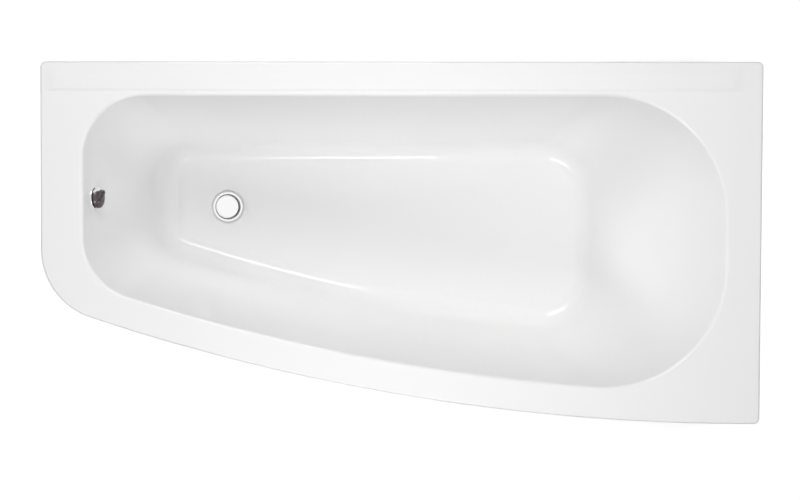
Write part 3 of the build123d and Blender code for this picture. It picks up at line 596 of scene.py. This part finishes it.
screws_set = add_node(
    screw_tree,
    "GeometryNodeInstanceOnPoints",
    {},
    {"Points": spots.outputs["Points"], "Instance": screw.outputs["Geometry"]},
)
tree_end(screw_tree, start, screws_set.outputs["Instances"])
plan_fillet = 0.060
wall_rise = rim_top - floor_z - plan_fillet
board_edges = rim_widths + wall_rise * np.tan(wall_slopes) + plan_fillet / np.cos(wall_slopes) + 0.002
bar_places = (-0.290, 0.299857)
screw_count = 3
screw_spots = []
for bar_x in bar_places:
    board_back, board_front = half_width - board_edges[2], arc_low(bar_x, board_edges[3])
    for index in range(screw_count):
        share = (index + 1) / (screw_count + 1)
        screw_spots.append((bar_x, board_back + (board_front - board_back) * share, screw_low.z + 0.0025))
bar_screws = grown(
    "pan_head_screws",
    screw_tree,
    zinc,
    Matrix.Identity(4),
    screw_spots,
    Head=0.005,
    Shank=0.0024,
    Length=screw_high.z - screw_low.z - 0.0025,
)
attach(bar_screws, "bath")
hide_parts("bar_screws")

# Legs. M12 threaded rods of zinc plated steel that screw in and out of their nuts to level
# the bath, each turned into a moulded plastic foot with a ribbed collar to grip.
stud_tree, start = node_tree("threaded rod", Length=0.0, Radius=0.0, Pitch=0.0, Crest=0.0)
turns = add_node(
    stud_tree,
    "ShaderNodeMath",
    {"operation": "DIVIDE"},
    {0: start.outputs["Length"], 1: start.outputs["Pitch"]},
)
ridge = add_node(
    stud_tree,
    "ShaderNodeMath",
    {"operation": "SUBTRACT"},
    {0: start.outputs["Radius"], 1: start.outputs["Crest"]},
)
winding = add_node(
    stud_tree,
    "GeometryNodeCurveSpiral",
    {"Resolution": 16},
    {
        "Rotations": turns.outputs["Value"],
        "Start Radius": ridge.outputs["Value"],
        "End Radius": ridge.outputs["Value"],
        "Height": start.outputs["Length"],
    },
)
tooth = add_node(
    stud_tree, "GeometryNodeCurvePrimitiveCircle", {"Resolution": 4}, {"Radius": start.outputs["Crest"]}
)
thread = add_node(
    stud_tree,
    "GeometryNodeCurveToMesh",
    {"Fill Caps": True},
    {"Curve": winding.outputs["Curve"], "Profile Curve": tooth.outputs["Curve"]},
)
core = add_node(
    stud_tree,
    "GeometryNodeMeshCylinder",
    {"Vertices": 24},
    {"Radius": ridge.outputs["Value"], "Depth": start.outputs["Length"]},
)
middle = add_node(
    stud_tree, "ShaderNodeMath", {"operation": "MULTIPLY", 1: 0.5}, {0: start.outputs["Length"]}
)
up = add_node(stud_tree, "ShaderNodeCombineXYZ", {}, {"Z": middle.outputs["Value"]})
core_high = add_node(
    stud_tree,
    "GeometryNodeTransform",
    {},
    {"Geometry": core.outputs["Mesh"], "Translation": up.outputs["Vector"]},
)
rod = add_node(stud_tree, "GeometryNodeJoinGeometry", {}, {"Geometry": thread.outputs["Mesh"]})
stud_tree.links.new(core_high.outputs["Geometry"], rod.inputs["Geometry"])
tree_end(stud_tree, start, rod.outputs["Geometry"])

rib_tree, start = node_tree("ring of ribs", Count=0, Ring=0.0, Rib=0.0, Length=0.0)
places = add_node(
    rib_tree,
    "GeometryNodeMeshCircle",
    {},
    {"Vertices": start.outputs["Count"], "Radius": start.outputs["Ring"]},
)
rib = add_node(
    rib_tree,
    "GeometryNodeMeshCylinder",
    {"Vertices": 10},
    {"Radius": start.outputs["Rib"], "Depth": start.outputs["Length"]},
)
ribs = add_node(
    rib_tree,
    "GeometryNodeInstanceOnPoints",
    {},
    {"Points": places.outputs["Mesh"], "Instance": rib.outputs["Mesh"]},
)
tree_end(rib_tree, start, ribs.outputs["Instances"])

# Polyamide with soot, moulded in a spark-eroded mould: near black, dull, with a fine grain
foot_plastic = material("moulded black polyamide", "1D1D1F", 0.0, 0.5)
grain = pattern(foot_plastic, "ShaderNodeTexNoise", 0.0008, Detail=2.0)
bump(foot_plastic, grain.outputs["Fac"], 0.00008)
roughen(foot_plastic, grain.outputs["Fac"], 0.42, 0.6)
foot_profile = (
    (0, 0), (22, 0), (23.4, 0.6), (23.4, 1.6), (25, 1.6), (25, 6.2), (24.3, 8), (22.5, 9), (14.5, 9.8),
    (12.4, 11.2), (11.5, 13), (11.5, 17.4), (10.9, 18), (6.4, 18), (6.4, 5), (0, 5),
)
leg_bodies = ("foot_back", "foot_front", "head_back", "head_front")
for leg in leg_bodies:
    stud_low, stud_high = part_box("leg_stud_" + leg)
    axis = Matrix.Translation(((stud_low.x + stud_high.x) / 2, (stud_low.y + stud_high.y) / 2, 0))
    stud = grown(
        "threaded_stud_" + leg,
        stud_tree,
        zinc,
        axis @ Matrix.Translation((0, 0, stud_low.z + 0.001)),
        Length=stud_high.z - stud_low.z - 0.002,
        Radius=(stud_high.x - stud_low.x) / 2,
        Pitch=0.00175,
        Crest=0.0007,
    )
    foot = turned("levelling_foot_" + leg, foot_profile, axis)
    foot_ribs = grown(
        "foot_ribs_" + leg,
        rib_tree,
        foot_plastic,
        axis @ Matrix.Translation((0, 0, 0.0135)),
        Count=16,
        Ring=0.0115,
        Rib=0.001,
        Length=0.008,
    )
    joined(foot, foot_ribs)
    foot.data.materials.clear()
    foot.data.materials.append(foot_plastic)
    for piece, node, slot in ((stud, "leg_stud_", "zinc_plated_steel"), (foot, "foot_pad_", "foot_plastic")):
        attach(piece, "leg_" + leg)
        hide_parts(node + leg)

# Waste set. A chromed brass flange clamps the shell between two rubber rings against a
# moulded body below. Its mouth holds the plug, and its long sleeve is threaded.
# Nickel and chromium on polished brass: a mirror, faintly blue
chrome = material("polished chrome plate", "F8F8F9", 1.0, 0.06)
flange_profile = (
    (22, 132.5), (24, 132.5), (24, 166.5), (35.2, 166.5), (36, 167.4), (36, 169.6), (35.7, 170.5), (35, 171),
    (31, 171), (30, 170.8), (29.3, 170.1), (28.9, 169.2), (27.9, 168.3), (26.8, 168), (22.6, 168), (22, 167.4),
)
waste_place = Matrix.Translation((waste[0], waste[1], 0))
flange = turned("waste_flange_ring", flange_profile, waste_place, 128)
guide = turned("stem_guide", ((7, 137.5), (7, 149.5), (4.1, 149.5), (4.1, 137.5)), waste_place, 48)
spokes = []
for quarter in range(4):
    ahead = Vector((math.cos(quarter * math.pi / 2), math.sin(quarter * math.pi / 2), 0))
    side = Vector((-ahead.y, ahead.x, 0)) * 0.0015
    corners = [waste_place @ (ahead * reach + side * hand) for reach in (0.0065, 0.0225) for hand in (-1, 1)]
    spoke_points = [corner + Vector((0, 0, height)) for height in (0.1375, 0.1435) for corner in corners]
    spoke_faces = ((0, 1, 3, 2), (4, 6, 7, 5), (0, 4, 5, 1), (2, 3, 7, 6), (0, 2, 6, 4), (1, 5, 7, 3))
    spoke_faces = [face[::-1] for face in spoke_faces]
    spokes.append(shaped("spoke", spoke_points, spoke_faces))
joined(flange, guide, *spokes)
flange.data.materials.append(chrome)
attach(flange, "bath")
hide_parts("waste_flange")
# EPDM rubber, moulded: black, matt, slightly grey where it is handled
rubber = material("moulded black rubber", "1A1A1A", 0.0, 0.7)
dust = pattern(rubber, "ShaderNodeTexNoise", 0.006, Detail=3.0)
tint(rubber, dust.outputs["Fac"], (0.35, "161616"), (0.7, "242424"))
dress(
    rubber,
    "waste_gasket_upper",
    "waste_gasket_lower",
    "plug_seal",
    "trap_inlet_seal",
    "trap_outlet_seal",
    "overflow_gasket",
    "hose_seals",
)
# Polypropylene, moulded in a satin mould: white, waxy, with a faint flow mottle
white_pp = material("moulded white polypropylene", "ECEDEA", 0.0, 0.38)
flow = pattern(white_pp, "ShaderNodeTexNoise", 0.018, Detail=2.0)
tint(white_pp, flow.outputs["Fac"], (0.3, "E6E7E3"), (0.7, "F0F1EE"))
satin = pattern(white_pp, "ShaderNodeTexNoise", 0.0009, Detail=1.0)
bump(white_pp, satin.outputs["Fac"], 0.00004)
dress(white_pp, "waste_body", "lift_lever", "trap_body", "overflow_elbow", "overflow_hose")
# The same resin with grey pigment, for the pipe and the parts that the cable drives
grey_pp = material("moulded grey polypropylene", "86898C", 0.0, 0.42)
grey_flow = pattern(grey_pp, "ShaderNodeTexNoise", 0.015, Detail=2.0)
tint(grey_pp, grey_flow.outputs["Fac"], (0.3, "7E8184"), (0.7, "8E9194"))
dress(grey_pp, "outlet_pipe", "lever_crank", "cable_gland_lower", "spindle_crank", "cable_gland_upper")

# Plug. A chromed cap, slightly domed, with a rubber ring below it and a brass stem that
# slides in the flange's guide. It stands open here, lifted clear of the mouth.
plug_low, plug_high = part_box("plug_cap")
plug_top = plug_high.z * 1000
rise = 4.2
plug_profile = (
    (0, plug_top - rise), (8, plug_top - rise), (26.6, plug_top - rise), (27.3, plug_top - rise + 0.5),
    (27.5, plug_top - rise + 1.3), (27.3, plug_top - 1.5), (26.4, plug_top - 0.7), (24.5, plug_top - 0.3),
    (19, plug_top - 0.1), (10, plug_top - 0.02), (0, plug_top),
)
plug = turned("plug_cover", plug_profile, waste_place, 128)
boss_profile = ((0, plug_top - rise - 10), (7.4, plug_top - rise - 10), (8, plug_top - rise - 9.4), (8, plug_top - rise + 1), (0, plug_top - rise + 1))
plug_boss = turned("plug_boss", boss_profile, waste_place, 48)
joined(plug, plug_boss)
plug.data.materials.append(chrome)
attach(plug, "plug")
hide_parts("plug_cap")
# Free-cutting brass, turned: warm yellow, with fine rings from the tool
brass = material("turned brass", "C8A766", 1.0, 0.24)
rings = pattern(brass, "ShaderNodeTexNoise", 0.004, (1, 1, 0.15), Detail=2.0)
roughen(brass, rings.outputs["Fac"], 0.18, 0.36)
dress(brass, "plug_stem", "overflow_spindle")

# Union nuts. Each joint of the trap and of the hose is drawn together by a moulded nut
# with ribs to grip, over a flat rubber seal.
nut_face = 1.4


def union_nut(node, axis, outer, bore, length, rib_count):
    """Ribbed nut in the place of its CAD node, turned about its axis. Sizes are in mm."""
    low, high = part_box(node)
    place = Matrix.Translation((low + high) / 2) @ Vector(axis).to_track_quat("Z", "Y").to_matrix().to_4x4()
    half = length / 2
    skirt = outer - nut_face
    profile = (
        (bore, -half), (skirt - 1.5, -half), (skirt, -half + 1.5), (skirt, half - 4), (skirt - 1, half - 3),
        (skirt - 1, half - 1), (skirt - 2, half), (bore, half),
    )
    nut = turned(node + "_ribbed", profile, place, 72)
    grips = grown(
        node + "_grips",
        rib_tree,
        white_pp,
        place @ Matrix.Translation((0, 0, -0.001)),
        Count=rib_count,
        Ring=(skirt - 0.2) / 1000,
        Rib=(nut_face + 0.2) / 1000,
        Length=(length - 7) / 1000,
    )
    joined(nut, grips)
    nut.data.materials.clear()
    nut.data.materials.append(white_pp)
    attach(nut, "bath")
    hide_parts(node)


overflow_up = (-0.199436, 0.0, 0.979911)
union_nut("trap_inlet_nut", (0, 0, -1), 29, 23.2, 26, 28)
union_nut("trap_outlet_nut", (0, 1, 0), 28, 22.2, 26, 28)
union_nut("hose_nut_upper", [-c for c in overflow_up], 20, 14.2, 24, 20)
union_nut("hose_nut_lower", (-1, 0, 0), 20, 14.2, 24, 20)

# Overflow. A chromed rosette covers the hole in the foot wall. The knob in front of it, a
# plated zinc casting with a raised grip, turns by 100 degrees to lift or drop the plug. A patch
# of bright chrome on its upper side is a painted highlight.
dress(chrome, "overflow_rosette")
# Dark chromium over polished zinc: a brown-grey mirror
dark_chrome = material("dark chrome plate", "5E5658", 1.0, 0.1)
knob_profile = (
    (0, 4), (21.5, 4), (22.6, 4.5), (23, 5.5), (23, 7.8), (22.6, 9.6), (21.6, 11.2), (19.8, 12.6), (17, 13.7),
    (13, 14.6), (8, 15.2), (0, 15.5),
)
knob = turned("overflow_knob_cover", knob_profile, overflow_place, 96)
knob_angle = math.radians(135)
grip_place = overflow_place @ Matrix.Rotation(knob_angle, 4, "Z") @ Matrix.Translation((0, 0, 0.0125))
grip_sizes = (0.0205, 0.0045, 0.0048)
grip_square = (0.35, 0.55)
grip_points = []
grip_around, grip_up = 48, 20


def eased(value, power):
    """Cosine or sine drawn out towards a square corner."""
    return math.copysign(abs(value) ** power, value)


for row in range(1, grip_up):
    tilt = -math.pi / 2 + math.pi * row / grip_up
    for column in range(grip_around):
        around = 2 * math.pi * column / grip_around
        waist = eased(math.cos(tilt), grip_square[1])
        spot = Vector(
            (
                grip_sizes[0] * waist * eased(math.cos(around), grip_square[0]),
                grip_sizes[1] * waist * eased(math.sin(around), grip_square[0]),
                grip_sizes[2] * eased(math.sin(tilt), grip_square[1]),
            )
        )
        grip_points.append(grip_place @ spot)
grip_faces = []
for row in range(grip_up - 2):
    for column in range(grip_around):
        beside = (column + 1) % grip_around
        low, high = row * grip_around, (row + 1) * grip_around
        grip_faces.append((low + column, low + beside, high + beside, high + column))
grip_faces.append(tuple(range(grip_around))[::-1])
grip_faces.append(tuple(range((grip_up - 2) * grip_around, (grip_up - 1) * grip_around)))
grip = shaped("knob_grip", grip_points, grip_faces, 50)
knob.data.materials.append(dark_chrome)
knob.data.materials.append(chrome)
joined(knob, grip)
# Painted highlight: faces of the knob and grip past a slanting line on the upper side take bright chrome, where the
# lamps' reflection falls; the rest stays dark chrome
knob_middle = overflow_place.translation
marks = []
for face in knob.data.polygons:
    side, out = face.center.y - knob_middle.y, face.center.x - knob_middle.x - 0.009
    marks.append(int(side > 0.0135 + 0.45 * out))
knob.data.polygons.foreach_set("material_index", marks)
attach(knob, "knob")
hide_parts("overflow_knob")

# Floor and lights. A white sweep under the bath and soft lamps: two short lamps beside the
# bath, whose lines show along the bowl, and long strips beside it and fills above and at the ends, which show in no
# mirror.
white_floor = material("white floor", "FFFFFF", 0.0, 1.0)
floor_tree = white_floor.node_tree
seen = add_node(floor_tree, "ShaderNodeLightPath", {})
floor_place = add_node(floor_tree, "ShaderNodeTexCoord", {})
far = add_node(
    floor_tree, "ShaderNodeVectorMath", {"operation": "LENGTH"}, {0: floor_place.outputs["Object"]}
)
fade = add_node(
    floor_tree,
    "ShaderNodeMapRange",
    {"From Min": 1.2, "From Max": 3.5, "To Min": 0.5, "To Max": 1.2},
    {"Value": far.outputs["Value"]},
)
glow = add_node(
    floor_tree,
    "ShaderNodeMath",
    {"operation": "MULTIPLY"},
    {0: seen.outputs["Is Camera Ray"], 1: fade.outputs["Result"]},
)
floor_tree.nodes["Principled BSDF"].inputs["Emission Color"].default_value = linear("FFFFFF")
floor_tree.links.new(glow.outputs["Value"], floor_tree.nodes["Principled BSDF"].inputs["Emission Strength"])
floor = shaped("floor", [(-6, -6, 0), (6, -6, 0), (6, 6, 0), (-6, 6, 0)], [(0, 1, 2, 3)])
floor.data.materials.append(white_floor)

world = bpy.data.worlds.new("studio")
bpy.context.scene.world = world
world.use_nodes = True
sky = world.node_tree
sky.nodes["Background"].inputs["Color"].default_value = (1.0, 1.0, 1.0, 1.0)
sky_light = 0.0
path = add_node(sky, "ShaderNodeLightPath", {})
mirrored = add_node(
    sky,
    "ShaderNodeMath",
    {"operation": "MAXIMUM"},
    {0: path.outputs["Is Camera Ray"], 1: path.outputs["Is Glossy Ray"]},
)
through = add_node(
    sky,
    "ShaderNodeMath",
    {"operation": "MAXIMUM"},
    {0: mirrored.outputs["Value"], 1: path.outputs["Is Transmission Ray"]},
)
strength = add_node(sky, "ShaderNodeMath", {"operation": "MAXIMUM", 1: sky_light}, {0: through.outputs["Value"]})
sky.links.new(strength.outputs["Value"], sky.nodes["Background"].inputs["Strength"])

# Each lamp: place, width and height in metres, watts, point that it faces, shown in mirrors,
# and spread in degrees
lamp_set = {
    "front window": ((-0.45, -1.62, 2.1), 1.1, 0.55, 13.0, (-0.45, 0.0, 0.3), True, 180),
    "back window": ((-0.45, 1.62, 2.1), 1.1, 0.9, 16.0, (-0.45, 0.0, 0.3), True, 180),
    "front strip": ((-1.1, -1.55, 2.25), 3.6, 0.55, 9.0, (-1.1, 0.0, 0.3), False, 180),
    "back strip": ((-1.1, 1.55, 2.25), 3.6, 1.15, 8.0, (-1.1, 0.0, 0.3), False, 180),
    "head overhead": ((0.5, 0.0, 2.8), 0.7, 0.7, 20.4, (0.5, 0.0, 0.0), False, 180),
    "foot overhead": ((-0.45, 0.0, 2.8), 0.7, 0.7, 5.0, (-0.45, 0.0, 0.0), False, 180),
    "bowl overhead": ((0.08, -0.02, 2.8), 0.5, 0.5, 0.18, (0.08, -0.02, 0.0), False, 26),
    "head back": ((1.0, 1.9, 1.9), 1.2, 0.5, 3.1, (0.3, 0.0, 0.3), False, 180),
    "front side": ((0.0, -2.4, 1.6), 3.0, 0.8, 3.1, (0.0, 0.0, 0.3), False, 180),
    "head side": ((2.8, 0.0, 1.5), 1.2, 0.8, 2.9, (0.0, 0.0, 0.3), False, 180),
}
for name, (place, width, height, watts, faced, mirrored_too, spread) in lamp_set.items():
    light = bpy.data.lights.new(name, "AREA")
    light.shape = "RECTANGLE"
    light.size, light.size_y = width, height
    light.energy = watts
    light.spread = math.radians(spread)
    lamp = bpy.data.objects.new(name, light)
    lamp.location = place
    lamp.rotation_euler = (Vector(faced) - Vector(place)).to_track_quat("-Z", "Y").to_euler()
    lamp.visible_glossy = mirrored_too
    bpy.context.scene.collection.objects.link(lamp)

# Camera
camera_data = bpy.data.cameras.new("camera")
camera_data.lens = 52.01
camera_data.shift_x = 0.01446
camera_data.shift_y = 0.0039
camera = bpy.data.objects.new("camera", camera_data)
camera.matrix_world = (
    Matrix.Translation((0.0286, 0.0392, 2.970))
    @ Matrix.Rotation(math.radians(-1.473), 4, "X")
    @ Matrix.Rotation(math.radians(1.196), 4, "Y")
    @ Matrix.Rotation(math.radians(0.241), 4, "Z")
)
bpy.context.scene.collection.objects.link(camera)
bpy.context.scene.camera = camera
bpy.context.scene.view_settings.view_transform = "Standard"
